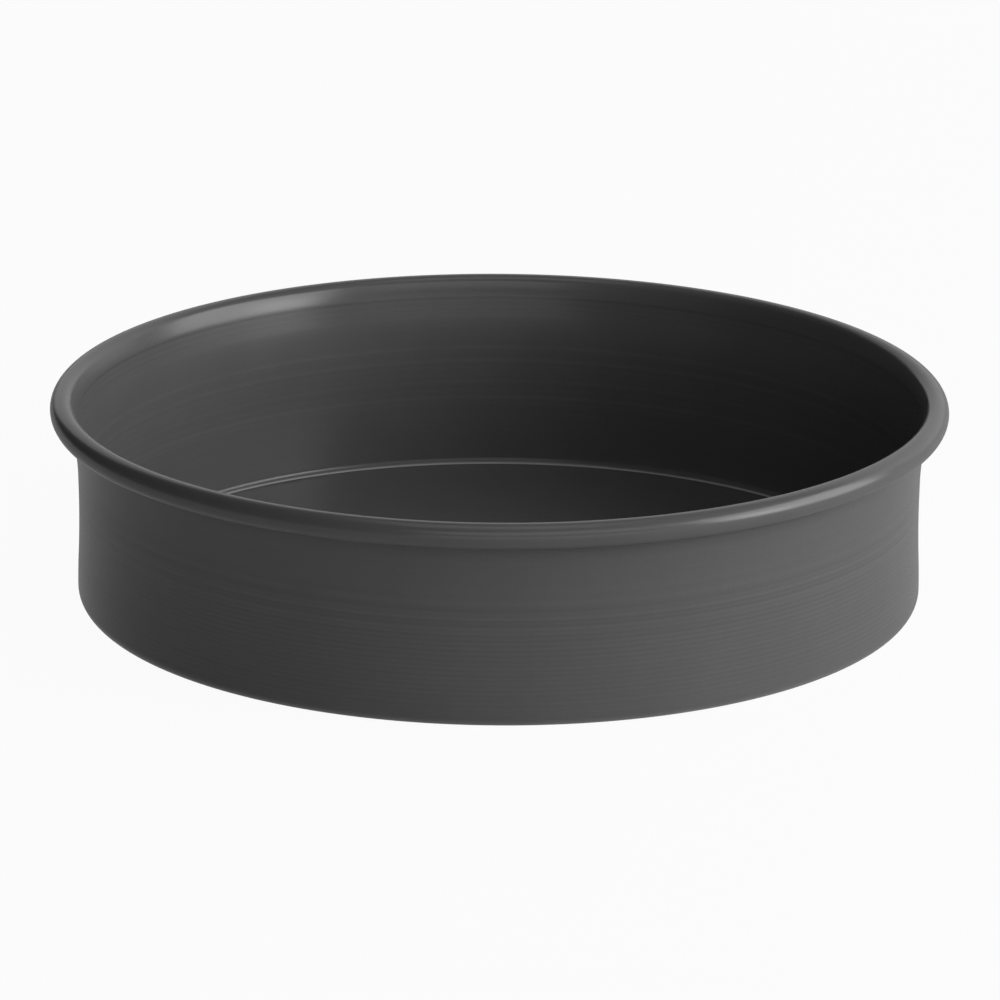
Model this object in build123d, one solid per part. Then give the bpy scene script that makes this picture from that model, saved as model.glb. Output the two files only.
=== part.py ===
from build123d import *
import math
import os

# Round cake tin: one disc of aluminium sheet, spun into a flat floor, an upright wall and a rolled rim.
# Millimetres, +Z up. The origin is the centre of the underside, on the surface that the tin stands on.

# The tin
inside_diameter = 203.2
overall_height = 51.3
sheet_thickness = 1.6

# The corner between the floor and the wall, measured inside
corner_radius = 1.6

# The wall stands a little further out at its foot and at its neck than at its waist
foot_swell = 0.45
neck_swell = 2.16

# Above the neck the sheet leans out by a slow bend, and then by a tight shoulder that ends level at the
# crest. The leans are in degrees from upright, and the shoulder's bore is the bend's width behind the sheet
neck_lean = 11
shoulder_lean = 22
bend_radius = 15
shoulder_bore = 1.6

# The rolled rim: the hollow inside the roll, and how far the cut edge stays out from the neck's back
rim_bore = 3.2
rim_slit = 0.2

# The wall's line between its foot and its neck: how far up each point lies, as a share of the wall,
# and the shares of the foot's swell and of the neck's swell that it has
wall_shares = [
    (0.12, 0.81, 0.0),
    (0.26, 0.28, 0.0),
    (0.42, 0.0, 0.0),
    (0.58, 0.0, 0.03),
    (0.72, 0.0, 0.13),
    (0.86, 0.0, 0.455),
]

# How many points carry the wall's line from the sheet's inner face to its outer face
wall_stations = 13


def inward(lean):
    """The way the inner face points where the sheet leans out by that many degrees: inwards and up."""
    return Vector(-math.cos(math.radians(lean)), math.sin(math.radians(lean)))


# The waist's inner face and the corner's end
waist_radius = inside_diameter / 2
foot_radius = waist_radius + foot_swell
foot_height = sheet_thickness + corner_radius
corner_centre = Vector(foot_radius - corner_radius, foot_height)

# The neck is where the wall ends. From there the bend and the shoulder reach up and out to the crest
rim_radius = rim_bore / 2 + sheet_thickness
shoulder_radius = shoulder_bore / 2 + sheet_thickness
bend_to_neck = bend_radius * inward(neck_lean)
bend_to_shoulder_centre = (bend_radius - shoulder_radius) * inward(shoulder_lean)
neck_radius = waist_radius + neck_swell
crest_radius = neck_radius - bend_to_neck.X + bend_to_shoulder_centre.X
shoulder_centre = Vector(crest_radius, overall_height - shoulder_radius)
bend_centre = shoulder_centre - bend_to_shoulder_centre
neck = bend_centre + bend_to_neck
rim_centre = Vector(crest_radius, overall_height - rim_radius)

# The roll ends under the rim, where its outer face comes within the slit of the neck's back
neck_back = neck - sheet_thickness * inward(neck_lean)
edge_reach = crest_radius - neck_back.X - rim_slit
rim_sweep = 90 + math.degrees(math.acos(-edge_reach / rim_radius))


def inner_wall():
    """The wall's inner face, upright at its foot, drawn in at its waist and leaning out at its neck."""
    points = [(foot_radius, foot_height)]
    for height_share, foot_share, neck_share in wall_shares:
        swell = foot_share * foot_swell + neck_share * neck_swell
        points.append((waist_radius + swell, foot_height + height_share * (neck.Y - foot_height)))
    points.append(neck)
    return Spline(*points, tangents=end_tangents())


def end_tangents():
    """The wall's directions at its foot and at its neck."""
    return [Vector(0, 1), inward(neck_lean).rotate(Axis.Z, -90)]


def wall_line(depth):
    """The wall's line at a depth behind its inner face, each point moved outwards square to that face."""
    inner_face = inner_wall()
    points = []
    for station in range(wall_stations):
        share = station / (wall_stations - 1)
        point = inner_face @ share
        along = inner_face % share
        points.append((point.X + depth * along.Y, point.Y - depth * along.X))
    return Spline(*points, tangents=end_tangents())


def sheet_line(depth):
    """The sheet's line from the axis to the cut edge, at a depth behind the face that holds the cake."""
    floor_height = sheet_thickness - depth
    floor_line = Line((0, floor_height), (corner_centre.X, floor_height))
    corner_arc = CenterArc(corner_centre, corner_radius + depth, -90, 90)
    bend_arc = CenterArc(bend_centre, bend_radius - depth, 180 - neck_lean, neck_lean - shoulder_lean)
    shoulder_arc = CenterArc(shoulder_centre, shoulder_radius - depth, 180 - shoulder_lean, shoulder_lean - 90)
    rim_arc = CenterArc(rim_centre, rim_radius - depth, 90, -rim_sweep)
    return [floor_line, corner_arc, wall_line(depth), bend_arc, shoulder_arc, rim_arc]


def sheet_section():
    """Half of the tin, cut through its axis: the sheet between its two faces, as thick all the way."""
    face_line = sheet_line(0)
    back_line = sheet_line(sheet_thickness)
    axis_end = Line(face_line[0] @ 0, back_line[0] @ 0)
    cut_edge = Line(face_line[-1] @ 1, back_line[-1] @ 1)
    outline = Wire(face_line + [cut_edge] + back_line + [axis_end])
    return Plane.XZ * make_face(outline)


def spun_pan():
    """The whole tin: its section turned once about the axis."""
    pan = revolve(sheet_section(), axis=Axis.Z)
    pan.label = "spun_pan"
    return pan


os.makedirs("parts", exist_ok=True)
pan = spun_pan()
export_step(pan, "parts/spun_pan.step")
size = pan.bounding_box().size
print("spun_pan", round(pan.volume), "cubic mm,", round(size.X, 2), round(size.Y, 2), round(size.Z, 2))
print("neck at", round(neck.X, 3), round(neck.Y, 3), "crest at", round(crest_radius, 3), "roll", round(rim_sweep, 2))
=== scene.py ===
# %% [markdown]
# # A round cake tin, spun from one sheet of aluminium
#
# The tin is one disc of sheet metal, pressed over a turning block until it has a flat floor, a tight
# corner and an upright wall. The last finger's breadth is rolled outwards into a hollow rim. The
# dark satin skin is hard anodising, a ceramic layer grown on the metal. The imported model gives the
# tin's place and size, and this lesson dresses it: a finely cut surface with the tool marks of the
# spinning, the anodised finish, a pale table, soft lamps and a camera.

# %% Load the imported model
import math

import bpy
import numpy as np
from mathutils import Matrix, Vector


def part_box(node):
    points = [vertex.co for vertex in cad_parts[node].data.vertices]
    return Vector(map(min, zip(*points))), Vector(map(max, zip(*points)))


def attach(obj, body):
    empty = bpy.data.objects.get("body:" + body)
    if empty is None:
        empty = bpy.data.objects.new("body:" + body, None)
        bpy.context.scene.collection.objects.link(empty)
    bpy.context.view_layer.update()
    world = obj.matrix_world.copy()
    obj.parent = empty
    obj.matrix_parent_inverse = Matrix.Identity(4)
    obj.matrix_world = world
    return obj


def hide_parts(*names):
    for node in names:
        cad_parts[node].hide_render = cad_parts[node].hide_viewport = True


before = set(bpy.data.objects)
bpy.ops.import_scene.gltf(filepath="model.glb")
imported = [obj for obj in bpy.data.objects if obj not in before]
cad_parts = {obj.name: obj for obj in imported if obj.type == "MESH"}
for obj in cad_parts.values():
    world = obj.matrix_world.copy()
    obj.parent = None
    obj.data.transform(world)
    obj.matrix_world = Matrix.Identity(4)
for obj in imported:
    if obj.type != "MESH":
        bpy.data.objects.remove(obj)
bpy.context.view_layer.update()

pan_low, pan_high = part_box("spun_pan")
print("packed tin, mm:", [round(side * 1000, 2) for side in pan_high - pan_low])

# %% [markdown]
# ## The sheet's line
#
# Cut the tin through its axis and all of it is one thin ribbon: along the floor, round the corner,
# up the wall, over the roll and back under it. On a bench this could be drawn as a curve and given
# a thickness. Here the ribbon is worked out as arrays of radius and height, because then every
# point also has an exact direction for the thickness, and the tool marks can be laid on it. The
# wall isn't quite straight: it draws in a little at its waist, as sheet does when it springs back
# from the block, and leans further out towards the roll. The roll begins at a faint crease, goes
# on as a slow bend, and closes with a tight shoulder at the crest.

# %% Sizes of the sheet, in metres
MM = 0.001
SHEET = 1.6 * MM
CORNER_RADIUS = 1.6 * MM
ROLL_RADIUS = 3.2 * MM
ROLL_SLIT = 0.2 * MM
SHOULDER_RADIUS = 2.4 * MM
SHOULDER_LEAN = math.radians(23.0)
BEND_RADIUS = 18.0 * MM
BEND_LEAN = math.radians(13.5)
CREASE_RADIUS = 8.0 * MM
NECK_LEAN = math.radians(9.4)
WAIST_RADIUS = 101.6 * MM
FOOT_SWELL = 0.45 * MM
tin_height = round(pan_high.z, 5)
rim_reach = round(pan_high.x, 4)


def inward(lean):
    """The way the inner face points where the sheet leans out by that angle: inwards and up."""
    return np.array([-math.cos(lean), math.sin(lean)])


roll_centre = np.array([rim_reach - ROLL_RADIUS, tin_height - ROLL_RADIUS])
shoulder_centre = np.array([roll_centre[0], tin_height - SHOULDER_RADIUS])
bend_centre = shoulder_centre + (SHOULDER_RADIUS - BEND_RADIUS) * inward(SHOULDER_LEAN)
crease_centre = bend_centre + (BEND_RADIUS - CREASE_RADIUS) * inward(BEND_LEAN)
neck = crease_centre + CREASE_RADIUS * inward(NECK_LEAN)
neck_swell = neck[0] - WAIST_RADIUS
foot = np.array([WAIST_RADIUS + FOOT_SWELL, SHEET + CORNER_RADIUS])
corner_centre = foot - np.array([CORNER_RADIUS, 0.0])
print("inside at the waist, mm:", round(2 * WAIST_RADIUS / MM, 2), "neck, mm:", np.round(neck / MM, 3))

# %% The wall's line
# Each row: how far up the wall, then the shares of the foot's and of the neck's swell found there
WALL_SHARES = np.array([
    (0.00, 1.00, 0.0),
    (0.12, 0.81, 0.0),
    (0.26, 0.28, 0.0),
    (0.42, 0.00, 0.0),
    (0.58, 0.00, 0.03),
    (0.72, 0.00, 0.135),
    (0.86, 0.00, 0.487),
    (0.93, 0.00, 0.744),
    (1.00, 0.00, 1.0),
])


def wall_face(height):
    """Radius and outward lean of the wall's inner face at each height.

    Between two stations the radius is the cubic that has the stations' radii and slopes at its
    ends (a Hermite curve). A station's slope is that of the chord across its two neighbours. The
    wall is upright at its foot, and at its neck it has the neck's lean.
    """
    knots = foot[1] + WALL_SHARES[:, 0] * (neck[1] - foot[1])
    radii = WAIST_RADIUS + WALL_SHARES[:, 1] * FOOT_SWELL + WALL_SHARES[:, 2] * neck_swell
    slopes = np.gradient(radii, knots)
    slopes[0] = 0.0
    slopes[-1] = math.tan(NECK_LEAN)
    k = np.clip(np.searchsorted(knots, height, side="right") - 1, 0, len(knots) - 2)
    step = knots[k + 1] - knots[k]
    t = (height - knots[k]) / step
    radius = (
        (2 * t**3 - 3 * t**2 + 1) * radii[k]
        + (t**3 - 2 * t**2 + t) * step * slopes[k]
        + (3 * t**2 - 2 * t**3) * radii[k + 1]
        + (t**3 - t**2) * step * slopes[k + 1]
    )
    lean = (
        (6 * t**2 - 6 * t) / step * radii[k]
        + (3 * t**2 - 4 * t + 1) * slopes[k]
        + (6 * t - 6 * t**2) / step * radii[k + 1]
        + (3 * t**2 - 2 * t) * slopes[k + 1]
    )
    return radius, lean


steepest = np.degrees(np.arctan(wall_face(np.linspace(foot[1], neck[1], 200))[1])).max()
print("the wall leans out by at most", round(float(steepest), 2), "degrees")

# %% [markdown]
# ## Two faces from one line
#
# The face that holds the cake and the face behind it are the same line at two depths. Each stretch
# below gives its points at a depth behind the inner face, so the sheet is equally thick everywhere.
# A row of points is crowded where the line turns sharply and thin where it is straight, which keeps
# the mesh light and its shading true.

# %% The stretches of the line
def arc_points(centre, radius, start, end, steps):
    """Points on a circle about the centre, from one angle to another: cosine is out, sine is up."""
    turn = np.linspace(start, end, steps)
    return centre + radius * np.column_stack([np.cos(turn), np.sin(turn)])


def floor_line(depth, rings):
    """The flat floor from the axis outwards. Rings crowd towards the corner: radius goes as a sine."""
    radius = corner_centre[0] * np.sin(np.linspace(0.0, math.pi / 2, rings))
    return np.column_stack([radius, np.full(rings, SHEET - depth)])


def corner_line(depth, steps):
    """A quarter circle about the corner's centre, from straight down to straight out."""
    return arc_points(corner_centre, CORNER_RADIUS + depth, -math.pi / 2, 0.0, steps)


def wall_line(depth, heights):
    """The wall at each height, each point moved outwards by the depth, square to the inner face."""
    radius, lean = wall_face(heights)
    length = np.hypot(1.0, lean)
    return np.column_stack([radius + depth / length, heights - depth * lean / length])


def neck_line(depth, crease_steps, bend_steps, shoulder_steps):
    """From the wall's end to the crest: the crease, the slow bend and the tight shoulder, each an arc."""
    stretches = (
        (crease_centre, CREASE_RADIUS, NECK_LEAN, BEND_LEAN, crease_steps),
        (bend_centre, BEND_RADIUS, BEND_LEAN, SHOULDER_LEAN, bend_steps),
        (shoulder_centre, SHOULDER_RADIUS, SHOULDER_LEAN, math.pi / 2, shoulder_steps),
    )
    arcs = [
        arc_points(centre, radius - depth, math.pi - start, math.pi - end, steps)
        for centre, radius, start, end, steps in stretches
    ]
    return np.concatenate([arcs[0][:-1], arcs[1][:-1], arcs[2]])


LIP_BULGE = 0.3 * MM
roll_overlap = roll_centre[0] - (neck - SHEET * inward(NECK_LEAN))[0] - ROLL_SLIT
lip_angle = -math.acos(-roll_overlap / ROLL_RADIUS) + LIP_BULGE / ROLL_RADIUS
print("the roll ends at", round(math.degrees(lip_angle), 1), "degrees")


def roll_line(depth, steps):
    """The roll: a circle about its centre, from the crest round to just short of the cut edge."""
    return arc_points(roll_centre, ROLL_RADIUS - depth, math.pi / 2, lip_angle, steps)


def lip_line(steps):
    """The cut edge, dulled: half an ellipse across the sheet that bulges onwards along the roll."""
    half = SHEET / 2
    turn = np.linspace(0.0, math.pi, steps)
    outwards = np.array([math.cos(lip_angle), math.sin(lip_angle)])
    onwards = np.array([math.sin(lip_angle), -math.cos(lip_angle)])
    middle = roll_centre + (ROLL_RADIUS - half) * outwards
    return middle + half * np.cos(turn)[:, None] * outwards + LIP_BULGE * np.sin(turn)[:, None] * onwards


# %% [markdown]
# ## The spinning marks
#
# The roller that presses the sheet against the block travels up the wall as the tin turns, so it
# leaves one continuous groove, a screw thread with a very fine pitch. It is worked into the surface
# itself: the groove's depth is a cosine of the height, and its phase turns once with each turn
# round the tin, so that the end of each ring meets the start of the next. Where the roller paused
# or was set anew it left single rings, a few thousandths of a millimetre high. Those are narrow
# bells, added up, each at its own height, and graded. Marks this shallow barely catch the lamps by
# their shape, so the light and dark lines they would show are painted into the tone: a painted
# shading, lighter or darker by each ring's grade and darker where the groove is deeper, stored on
# the mesh too, where the finish reads it.

# %% The groove and the single rings
GROOVE_PITCH = 1.215 * MM
GROOVE_DEPTH = 0.006 * MM
GROOVE_START = 3.4 * MM
GROOVE_FULL = 5.0 * MM
GROOVE_FADE = 26.0 * MM
GROOVE_END = 33.0 * MM
GROOVE_PHASE = math.radians(6.0)

RING_RELIEF = 0.0015 * MM
# The ring tone is painted shading: the light and dark lines the rings would show under the lamps
RING_SHADE_STRENGTH = 0.7
# Each row: the ring's height and half width, in millimetres, and its grade. The grade is painted shading: a
# faint ring is 1, a plain one 2 and a strong one 3, negative where the ring is painted darker than the wall
# and positive where it is painted lighter, and its size also sets the ring's relief
INNER_RINGS = np.array([
    (46.0, 0.4, -3),
    (44.5, 0.4, -1),
    (43.0, 0.4, -1),
    (33.0, 0.4, 2),
    (29.5, 0.4, 2),
    (27.5, 0.3, 1),
    (24.0, 0.3, 1),
    (21.5, 0.3, 1),
    (19.5, 0.4, 2),
    (18.0, 0.3, 1),
])
OUTER_RINGS = np.array([
    (30.5, 0.7, 1),
    (29.0, 0.6, -1),
    (27.0, 0.7, 1),
    (25.5, 0.6, -1),
    (24.0, 0.7, 1),
])


def smooth(low, high, value):
    """0 below low, 1 above high, and between them the cubic with level ends."""
    t = np.clip((value - low) / (high - low), 0.0, 1.0)
    return t * t * (3.0 - 2.0 * t)


def groove_depth(height, around):
    """How far the groove lies in from the wall's outer face, by height and angle around the tin."""
    strength = smooth(GROOVE_START, GROOVE_FULL, height) * (1 - smooth(GROOVE_FADE, GROOVE_END, height))
    phase = 2 * math.pi * height / GROOVE_PITCH - around + GROOVE_PHASE
    return GROOVE_DEPTH * strength * 0.5 * (1 - np.cos(phase))


def ring_bells(height, rings, grades):
    """The rings' grades added up at each height: each is a bell, its grade times e to minus u squared."""
    away = (height[..., None] / MM - rings[:, 0]) / rings[:, 1]
    return (grades * np.exp(-away**2)).sum(axis=-1)


# %% The whole section, one closed line from the axis back to the axis
AROUND = 200
GROOVE_POINTS = 6
inner_heights = np.linspace(foot[1], neck[1], 150)[1:-1]
groove_rows = int((GROOVE_END - foot[1]) / GROOVE_PITCH * GROOVE_POINTS)
outer_heights = np.concatenate([
    np.linspace(neck[1], GROOVE_END, 32)[1:-1],
    np.linspace(GROOVE_END, foot[1], groove_rows)[:-1],
])
inside = [
    floor_line(0.0, 14),
    corner_line(0.0, 19)[1:],
    wall_line(0.0, inner_heights),
    neck_line(0.0, 4, 8, 17),
    roll_line(0.0, 46)[1:],
]
outside = [
    lip_line(9)[1:-1],
    roll_line(SHEET, 16)[::-1],
    neck_line(SHEET, 3, 5, 6)[::-1][1:],
    wall_line(SHEET, outer_heights),
    corner_line(SHEET, 15)[::-1],
    floor_line(SHEET, 12)[::-1][1:],
]
section = np.concatenate(inside + outside)


def stretch_mask(before, count):
    """True for that many points of the section, from the end of the stretches before them."""
    mask = np.zeros(len(section), bool)
    start = sum(len(stretch) for stretch in before)
    mask[start:start + count] = True
    return mask


inner_wall_points = stretch_mask(inside[:2], len(inner_heights))
outer_wall_points = stretch_mask(inside + outside[:3], len(outer_heights))
# Painted shading of the rings, lighter or darker by grade, on the inner and outer walls
inner_ring_shade = ring_bells(section[:, 1], INNER_RINGS, INNER_RINGS[:, 2])
outer_ring_shade = ring_bells(section[:, 1], OUTER_RINGS, OUTER_RINGS[:, 2])
ring_painted_shade = RING_SHADE_STRENGTH * (inner_ring_shade * inner_wall_points + outer_ring_shade * outer_wall_points)
inner_relief = ring_bells(section[:, 1], INNER_RINGS, abs(INNER_RINGS[:, 2]))
outer_relief = ring_bells(section[:, 1], OUTER_RINGS, abs(OUTER_RINGS[:, 2]))
section[:, 0] -= RING_RELIEF * inner_relief * inner_wall_points
section[:, 0] += RING_RELIEF * outer_relief * outer_wall_points
print("points in the section:", len(section), "triangles:", 2 * AROUND * (len(section) - 2))

# %% [markdown]
# ## Painted light in the bends
#
# The grey is painted paler in two bends, as painted light: a painted highlight in the angle between
# floor and wall, where the lamps shine on the fillet, and painted light from the bright floor along
# the outer foot. Each point of the section gets a number for that, a bell about one direction of
# the corner's arc, and the finish reads it later as an attribute of the mesh.

# %% The painted light in the bends
# For each: how much painted light at most, the direction of the brightest place and the half width, both in
# degrees. The angle between floor and wall gets a painted highlight, the foot painted light from the floor
ANGLE_HIGHLIGHT = (1.9, -74.0, 14.0)
FOOT_FLOOR_LIGHT = (0.55, -62.0, 30.0)


def painted_light_bell(height, middle, half_width, turn):
    """A bell over the turn in degrees: its height times e to minus the square of the scaled distance."""
    return height * np.exp(-(((turn - middle) / half_width) ** 2))


# A painted highlight in the floor-wall angle and painted floor light along the foot, per section point
corner_painted_light = np.zeros(len(section))
corners_with_painted_light = (
    (inside[:1], inside[1], ANGLE_HIGHLIGHT),
    (inside + outside[:4], outside[4], FOOT_FLOOR_LIGHT),
)
for before, corner, painted_band in corners_with_painted_light:
    corner_points = stretch_mask(before, len(corner))
    out_and_up = section[corner_points] - corner_centre
    corner_turn = np.degrees(np.arctan2(out_and_up[:, 1], out_and_up[:, 0]))
    corner_painted_light[corner_points] = painted_light_bell(*painted_band, corner_turn)
print("palest:", round(float(corner_painted_light.max()), 2))

# %% [markdown]
# ## Turning the section
#
# A lathe shape is a grid: one direction runs along the section, the other around the axis. The two
# ends of the section lie on the axis, where a whole row of points would fall on one spot, so each
# end is a single point with a fan of triangles. The seam needs no doubled points: the last column
# of faces goes back to the first column.

# %% Build the surface
def turned_points(line, around):
    """Every section point at every angle: x and y are the radius times the angle's cosine and sine."""
    angles = np.arange(around) * 2 * math.pi / around
    height = np.repeat(line[1:-1, 1:], around, axis=1)
    from_front = angles[None, :] + math.pi / 2
    radius = line[1:-1, :1] - groove_depth(height, from_front) * outer_wall_points[1:-1, None]
    points = np.stack([radius * np.cos(angles), radius * np.sin(angles), height], axis=-1)
    ends = np.array([[0.0, 0.0, line[0, 1]], [0.0, 0.0, line[-1, 1]]])
    return np.concatenate([points.reshape(-1, 3), ends])


def ring_painted_shading(line, around):
    """The painted shading of every point: the single rings' painted light and dark lines, less the groove's
    painted shade.

    The groove's painted shade is its depth there as a share of its full depth, counted from that height's
    mean.
    """
    angles = np.arange(around) * 2 * math.pi / around
    height = np.repeat(line[1:-1, 1:], around, axis=1)
    groove = groove_depth(height, angles[None, :] + math.pi / 2) * outer_wall_points[1:-1, None]
    share = (groove - groove.mean(axis=1, keepdims=True)) / GROOVE_DEPTH
    return np.append((ring_painted_shade[1:-1, None] - share).ravel(), [0.0, 0.0])


def turned_faces(rows, around):
    """Corner numbers of the grid's four-sided faces and of the two fans, all facing outwards."""
    row, column = np.meshgrid(np.arange(rows - 1), np.arange(around), indexing="ij")
    beside = (column + 1) % around
    quads = np.stack([
        (row + 1) * around + column, (row + 1) * around + beside,
        row * around + beside, row * around + column,
    ], axis=-1).reshape(-1, 4)
    turn = np.arange(around)
    onward = (turn + 1) % around
    last = (rows - 1) * around
    top = np.stack([onward, np.full(around, rows * around), turn], axis=-1)
    bottom = np.stack([last + turn, np.full(around, rows * around + 1), last + onward], axis=-1)
    return quads, top, bottom


def turned_uv(line, around, corners, sides):
    """Across: the share of a turn, which passes 1 in the last column. Up: the share of the line."""
    along = np.concatenate([[0.0], np.cumsum(np.hypot(*np.diff(line, axis=0).T))])
    along = along / along[-1]
    rows = len(line) - 2
    across = np.append(np.tile(np.arange(around) / around, rows), [0.0, 0.0])[corners]
    upward = np.append(np.repeat(along[1:-1], around), [0.0, 1.0])[corners]
    face = np.repeat(np.arange(len(sides)), sides)
    widest = np.zeros(len(sides))
    np.maximum.at(widest, face, across)
    across = across + ((widest[face] > 0.5) & (across < 0.25))
    pole = corners >= rows * around
    across = np.where(pole, widest[face] - 0.5 / around, across)
    return np.column_stack([across, upward])


def turned_mesh(name, line, around):
    """A closed mesh of the section turned about Z, with a UV map: once around, once along the line."""
    points = turned_points(line, around)
    quads, top, bottom = turned_faces(len(line) - 2, around)
    corners = np.concatenate([quads.ravel(), top.ravel(), bottom.ravel()]).astype(np.int32)
    sides = np.concatenate([np.full(len(quads), 4), np.full(2 * around, 3)])
    starts = np.concatenate([[0], np.cumsum(sides)[:-1]]).astype(np.int32)
    mesh = bpy.data.meshes.new(name)
    mesh.vertices.add(len(points))
    mesh.vertices.foreach_set("co", points.astype(np.float32).ravel())
    mesh.loops.add(len(corners))
    mesh.loops.foreach_set("vertex_index", corners)
    mesh.polygons.add(len(starts))
    mesh.polygons.foreach_set("loop_start", starts)
    mesh.update(calc_edges=True)
    mesh.shade_smooth()
    # The painted highlight and painted floor light at the corners, stored on the mesh for the finish
    painted_band = mesh.attributes.new("corner_painted_light", "FLOAT", "POINT")
    painted_light_points = np.append(np.repeat(corner_painted_light[1:-1], around), corner_painted_light[[0, -1]])
    painted_band.data.foreach_set("value", painted_light_points.astype(np.float32))
    # The rings' and the groove's painted shading, stored on the mesh for the finish
    ring_shade_layer = mesh.attributes.new("ring_painted_shading", "FLOAT", "POINT")
    ring_shade_layer.data.foreach_set("value", ring_painted_shading(line, around).astype(np.float32))
    uv = mesh.uv_layers.new(name="sheet")
    uv.data.foreach_set("uv", turned_uv(line, around, corners, sides).astype(np.float32).ravel())
    mesh.validate()
    return mesh


tin = bpy.data.objects.new("cake_tin", turned_mesh("cake_tin", section, AROUND))
bpy.context.scene.collection.objects.link(tin)
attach(tin, "root")
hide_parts("spun_pan")
print("faces of the tin:", len(tin.data.polygons))

# %% [markdown]
# ## Hard-anodised aluminium
#
# Hard anodising turns the metal's own surface into a dark, glass-hard ceramic. What is seen is not
# bare metal: the layer is a dark grey body under a clear face that mirrors little head on and much
# at a glancing angle, and blurs what it mirrors into a satin sheen. So the shader isn't metallic.
# The layer grows on metal that was turned, so fine lines run round the tin in its tone and its
# roughness, and a cloudy mottle lies over both. A fine grain is in the tone and is the only relief.
# The tone also carries painted light: painted shading on the rings and the groove, and a painted
# highlight and painted floor light at the corners.

# %% Helpers for materials
def new_material(name):
    """A material with an empty Principled shader, and the shader and tree to build on."""
    material = bpy.data.materials.new(name)
    material.use_nodes = True
    shader = material.node_tree.nodes["Principled BSDF"]
    return material, shader, material.node_tree


def add_node(tree, kind, values=None, **settings):
    """A node of that kind, with its settings, and with its named or numbered inputs set."""
    node = tree.nodes.new(kind)
    for setting, value in settings.items():
        setattr(node, setting, value)
    for socket, value in (values or {}).items():
        node.inputs[socket].default_value = value
    return node


def link_math(tree, operation, first, second):
    """The outcome of one sum of two inputs, each an output to link or a plain number."""
    node = add_node(tree, "ShaderNodeMath", operation=operation)
    for socket, value in zip(node.inputs, (first, second)):
        if isinstance(value, (int, float)):
            socket.default_value = value
        else:
            tree.links.new(value, socket)
    return node.outputs[0]


# %% The patterns of the skin
LINES_PER_LENGTH = 520.0
LINE_SWEEP = 0.35
MOTTLE_SCALE = 70.0
GRAIN_SCALE = 2200.0


def link_noise(tree, vector, scale, detail):
    """Smooth noise about one half, read at that vector."""
    noise = add_node(tree, "ShaderNodeTexNoise", {"Scale": scale, "Detail": detail, "Roughness": 0.55})
    tree.links.new(vector, noise.inputs["Vector"])
    return noise.outputs["Fac"]


def turning_vector(tree):
    """A place whose first two numbers go slowly round with the tin and whose third runs along the sheet.

    Noise read there gives long streaks that run round the tin and meet themselves without a seam.
    """
    coordinates = add_node(tree, "ShaderNodeTexCoord")
    flat = add_node(tree, "ShaderNodeVectorMath", {1: (1.0, 1.0, 0.0)}, operation="MULTIPLY")
    tree.links.new(coordinates.outputs["Object"], flat.inputs[0])
    round_the_tin = add_node(tree, "ShaderNodeVectorMath", operation="NORMALIZE")
    tree.links.new(flat.outputs[0], round_the_tin.inputs[0])
    direction = add_node(tree, "ShaderNodeSeparateXYZ")
    tree.links.new(round_the_tin.outputs[0], direction.inputs[0])
    sheet_uv = add_node(tree, "ShaderNodeUVMap", uv_map="sheet")
    sheet_place = add_node(tree, "ShaderNodeSeparateXYZ")
    tree.links.new(sheet_uv.outputs[0], sheet_place.inputs[0])
    place = add_node(tree, "ShaderNodeCombineXYZ")
    tree.links.new(link_math(tree, "MULTIPLY", direction.outputs["X"], LINE_SWEEP), place.inputs["X"])
    tree.links.new(link_math(tree, "MULTIPLY", direction.outputs["Y"], LINE_SWEEP), place.inputs["Y"])
    tree.links.new(link_math(tree, "MULTIPLY", sheet_place.outputs["Y"], LINES_PER_LENGTH), place.inputs["Z"])
    return coordinates.outputs["Object"], place.outputs[0]


# %% The finish
BODY_GREY = 0.13
BODY_SPREAD = 0.016
# The next two greys are painted light: the rings' painted shading, and the painted highlight and floor light
# at the corners
RING_SHADE_GREY = 0.010
PAINTED_LIGHT_GREY = 0.25
SATIN_ROUGHNESS = 0.25
SATIN_SPREAD = 0.05
CERAMIC_IOR = 1.5
GRAIN_RELIEF = 0.0004 * MM

anodised, anodised_shader, anodised_tree = new_material("hard_anodised")
object_place, turned_place = turning_vector(anodised_tree)
turning_lines = link_noise(anodised_tree, turned_place, 1.0, 1.5)
mottle = link_noise(anodised_tree, object_place, MOTTLE_SCALE, 4.0)
grain = link_noise(anodised_tree, object_place, GRAIN_SCALE, 1.0)


def link_spread(tree, middle, spread, sources):
    """The middle, plus the spread times how far the sources together stray from their own middles."""
    total = sources[0]
    for source in sources[1:]:
        total = link_math(tree, "ADD", total, source)
    stray = link_math(tree, "SUBTRACT", total, 0.5 * len(sources))
    return link_math(tree, "ADD", link_math(tree, "MULTIPLY", stray, spread), middle)


# Painted light at the corners: a painted highlight in the angle of floor and wall and painted floor light
# along the foot, added to the grey
painted_light_read = add_node(anodised_tree, "ShaderNodeAttribute", attribute_name="corner_painted_light")
painted_lightening = link_math(anodised_tree, "MULTIPLY", painted_light_read.outputs["Fac"], PAINTED_LIGHT_GREY)
body = link_spread(anodised_tree, BODY_GREY, BODY_SPREAD, [turning_lines, mottle, grain])
body = link_math(anodised_tree, "ADD", body, painted_lightening)
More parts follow.
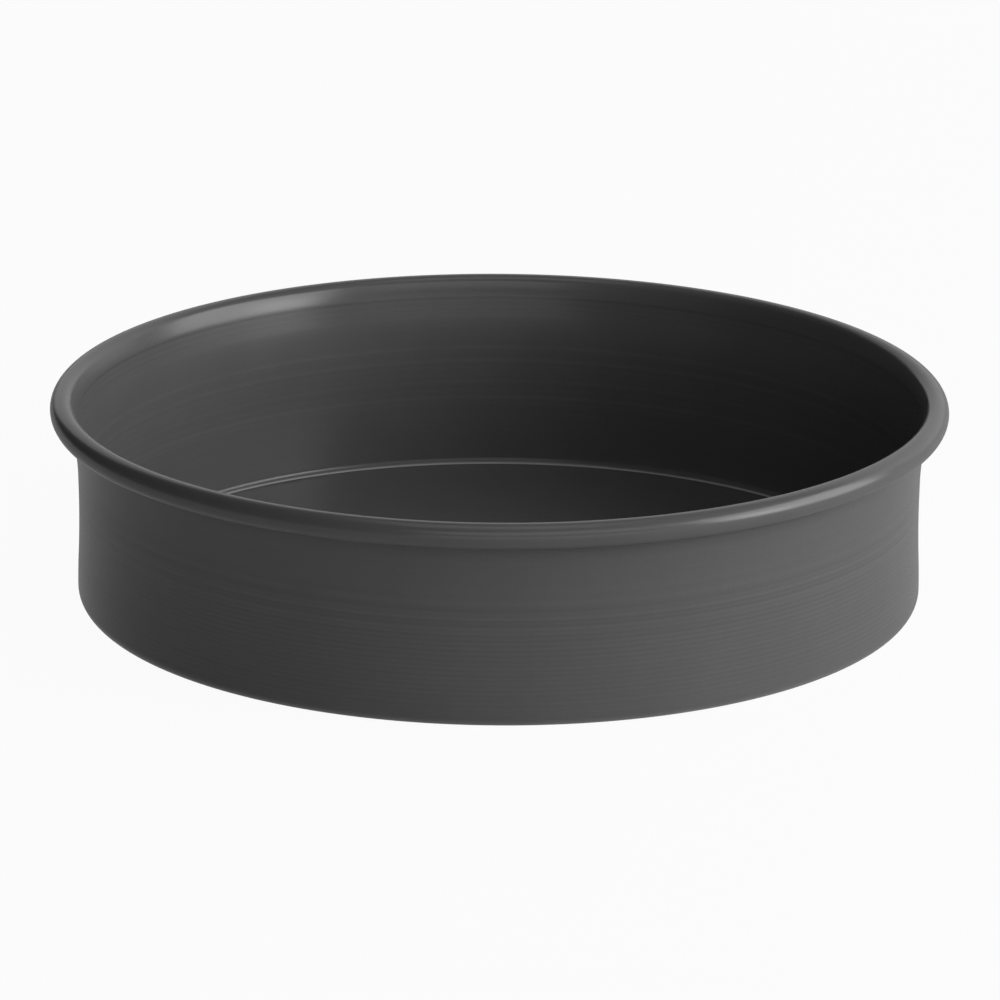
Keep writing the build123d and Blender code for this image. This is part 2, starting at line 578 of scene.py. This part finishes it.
# Painted shading of the rings and the groove, made uneven by the mottle
ring_shading_read = add_node(anodised_tree, "ShaderNodeAttribute", attribute_name="ring_painted_shading")
uneven_ring_shade = link_math(anodised_tree, "MULTIPLY", mottle, 2.0 * RING_SHADE_GREY)
ring_shading = link_math(anodised_tree, "MULTIPLY", ring_shading_read.outputs["Fac"], uneven_ring_shade)
body = link_math(anodised_tree, "ADD", body, ring_shading)
body_colour = add_node(anodised_tree, "ShaderNodeCombineColor")
for channel in body_colour.inputs:
    anodised_tree.links.new(body, channel)
anodised_tree.links.new(body_colour.outputs[0], anodised_shader.inputs["Base Color"])
satin = link_spread(anodised_tree, SATIN_ROUGHNESS, SATIN_SPREAD, [turning_lines, mottle])
anodised_tree.links.new(satin, anodised_shader.inputs["Roughness"])
anodised_shader.inputs["Metallic"].default_value = 0.0
anodised_shader.inputs["IOR"].default_value = CERAMIC_IOR
grain_bump = add_node(anodised_tree, "ShaderNodeBump", {"Strength": 1.0, "Distance": GRAIN_RELIEF})
anodised_tree.links.new(grain, grain_bump.inputs["Height"])
anodised_tree.links.new(grain_bump.outputs[0], anodised_shader.inputs["Normal"])
tin.data.materials.append(anodised)
print("nodes in the finish:", len(anodised_tree.nodes))

# %% [markdown]
# ## The table
#
# A photograph for a catalogue is taken on a white sweep. The floor here is a pale matt sheet. For
# the camera most of it is a plain glow of strength 1, so that it reads as white, and the rest is
# lit, so that the tin's own shadow still darkens it. Mirrored rays see the same glow, but dimmer, as
# on a table that is lit from beneath. The floor lies a hair under the tin, because two faces in one
# plane would flicker.

# %% Floor and world
FLOOR_RADIUS = 3.5
FLOOR_GREY = 0.8
FLOOR_DROP = 0.05 * MM
CAMERA_GLOW = 0.95
MIRRORED_FLOOR = 0.35
MIRRORED_WORLD = 0.04


def disc_mesh(name, radius, height, steps):
    """A flat round sheet at that height: a fan of triangles about the centre."""
    turn = np.arange(steps) * 2 * math.pi / steps
    rim = np.column_stack([radius * np.cos(turn), radius * np.sin(turn), np.full(steps, height)])
    points = np.concatenate([rim, [[0.0, 0.0, height]]])
    faces = np.column_stack([np.full(steps, steps), np.arange(steps), (np.arange(steps) + 1) % steps])
    mesh = bpy.data.meshes.new(name)
    mesh.from_pydata(points.tolist(), [], faces.tolist())
    return mesh


def link_seen(tree, camera_share, mirrored_share):
    """One share for camera rays, another for mirrored rays and nothing for the rest."""
    path = add_node(tree, "ShaderNodeLightPath")
    straight = link_math(tree, "MULTIPLY", path.outputs["Is Camera Ray"], camera_share)
    mirrored = link_math(tree, "MULTIPLY", path.outputs["Is Glossy Ray"], mirrored_share)
    return link_math(tree, "MAXIMUM", straight, mirrored)


floor = bpy.data.objects.new("floor", disc_mesh("floor", FLOOR_RADIUS, -FLOOR_DROP, 96))
bpy.context.scene.collection.objects.link(floor)
floor_material, floor_shader, floor_tree = new_material("white_sweep")
floor_shader.inputs["Base Color"].default_value = (FLOOR_GREY, FLOOR_GREY, FLOOR_GREY, 1.0)
floor_shader.inputs["Roughness"].default_value = 1.0
floor_shader.inputs["Specular IOR Level"].default_value = 0.0
glow = add_node(floor_tree, "ShaderNodeEmission")
floor_tree.links.new(link_seen(floor_tree, 1.0, MIRRORED_FLOOR), glow.inputs["Strength"])
mix = add_node(floor_tree, "ShaderNodeMixShader")
floor_tree.links.new(link_seen(floor_tree, CAMERA_GLOW, 1.0), mix.inputs["Fac"])
floor_tree.links.new(floor_shader.outputs[0], mix.inputs[1])
floor_tree.links.new(glow.outputs[0], mix.inputs[2])
floor_tree.links.new(mix.outputs[0], floor_tree.nodes["Material Output"].inputs["Surface"])
floor.data.materials.append(floor_material)

world = bpy.data.worlds.new("studio")
world.use_nodes = True
background = world.node_tree.nodes["Background"]
background.inputs["Color"].default_value = (1.0, 1.0, 1.0, 1.0)
world.node_tree.links.new(link_seen(world.node_tree, 1.0, MIRRORED_WORLD), background.inputs["Strength"])
bpy.context.scene.world = world
print("floor:", FLOOR_RADIUS, "m in radius")

# %% [markdown]
# ## The lamps
#
# A dark satin skin shows little but its lamps, so they are placed by what the tin mirrors. Each is a
# flat soft box that faces the tin from the same distance. It is given by where its middle stands and
# by how wide and how high it looks from the tin, all in degrees. The compass starts at the camera and
# goes round by the tin's right side. The key is a large box at the right, and the strip before it
# brightens the roll. Two fills come from the front, a broad one from behind and a weak one from above.

# %% Soft boxes
LAMP_AIM = Vector((0.0, 0.0, 0.03))
LAMP_DISTANCE = 1.2
# Each row: the compass angle and height of the middle, how wide and how high it looks, its brightness
SOFT_BOXES = (
    ("key", 80, 22, 50, 40, 3.4),
    ("strip", 65, 15, 20, 15, 3.0),
    ("front_fill", 10, 35, 50, 20, 0.9),
    ("low_fill", 10, 5, 60, 10, 1.0),
    ("back_fill", 165, 25, 90, 45, 0.6),
    ("top", 0, 90, 30, 30, 0.7),
)


def softbox(name, azimuth, elevation, wide, high, radiance):
    """A flat lamp that faces the tin and looks that wide and high from it, all angles in degrees.

    Its power is its brightness times pi times its area, as a matt glowing sheet has.
    """
    turned, raised = math.radians(azimuth), math.radians(elevation)
    towards = Vector((
        math.sin(turned) * math.cos(raised),
        -math.cos(turned) * math.cos(raised),
        math.sin(raised),
    ))
    lamp = bpy.data.lights.new(name, "AREA")
    lamp.shape = "RECTANGLE"
    lamp.size = 2 * LAMP_DISTANCE * math.tan(math.radians(wide) / 2)
    lamp.size_y = 2 * LAMP_DISTANCE * math.tan(math.radians(high) / 2)
    lamp.energy = radiance * math.pi * lamp.size * lamp.size_y
    holder = bpy.data.objects.new(name, lamp)
    holder.location = LAMP_AIM + towards * LAMP_DISTANCE
    holder.rotation_euler = towards.to_track_quat("Z", "Y").to_euler()
    holder.visible_camera = False
    bpy.context.scene.collection.objects.link(holder)
    return holder


for box in SOFT_BOXES:
    holder = softbox(*box)
    print(box[0], "m:", round(holder.data.size, 2), "by", round(holder.data.size_y, 2))

# %% [markdown]
# ## The camera
#
# The camera stands a good way off with a long lens, so the tin's two sides run nearly parallel. It
# looks down by 16.5 degrees at the middle of the rim, and is tilted, turned and rolled a little from
# there, as a camera on a stand is.

# %% Camera
CAMERA_DISTANCE = 1.6418
CAMERA_ELEVATION = 16.528
CAMERA_TILT = 0.9323
CAMERA_TURN = 0.0087
CAMERA_ROLL = 0.3648
LENS_SHARE = 6.7013

camera_data = bpy.data.cameras.new("camera")
camera_data.sensor_width = 36.0
camera_data.lens = LENS_SHARE * camera_data.sensor_width
camera_data.clip_end = 50.0
camera = bpy.data.objects.new("camera", camera_data)
bpy.context.scene.collection.objects.link(camera)
bpy.context.scene.camera = camera
camera_rise = math.radians(CAMERA_ELEVATION)
back = Vector((0.0, -math.cos(camera_rise), math.sin(camera_rise)))
look = back.to_track_quat("Z", "Y").to_matrix()
tilt = Matrix.Rotation(math.radians(-CAMERA_TILT), 3, "X")
turn = Matrix.Rotation(math.radians(-CAMERA_TURN), 3, "Y")
roll = Matrix.Rotation(math.radians(CAMERA_ROLL), 3, "Z")
place = Matrix.Translation(Vector((0.0, 0.0, tin_height)) + back * CAMERA_DISTANCE)
camera.matrix_world = place @ (look @ tilt @ turn @ roll).to_4x4()
print("lens, mm:", round(camera_data.lens, 1))

bpy.context.scene.view_settings.view_transform = "Standard"
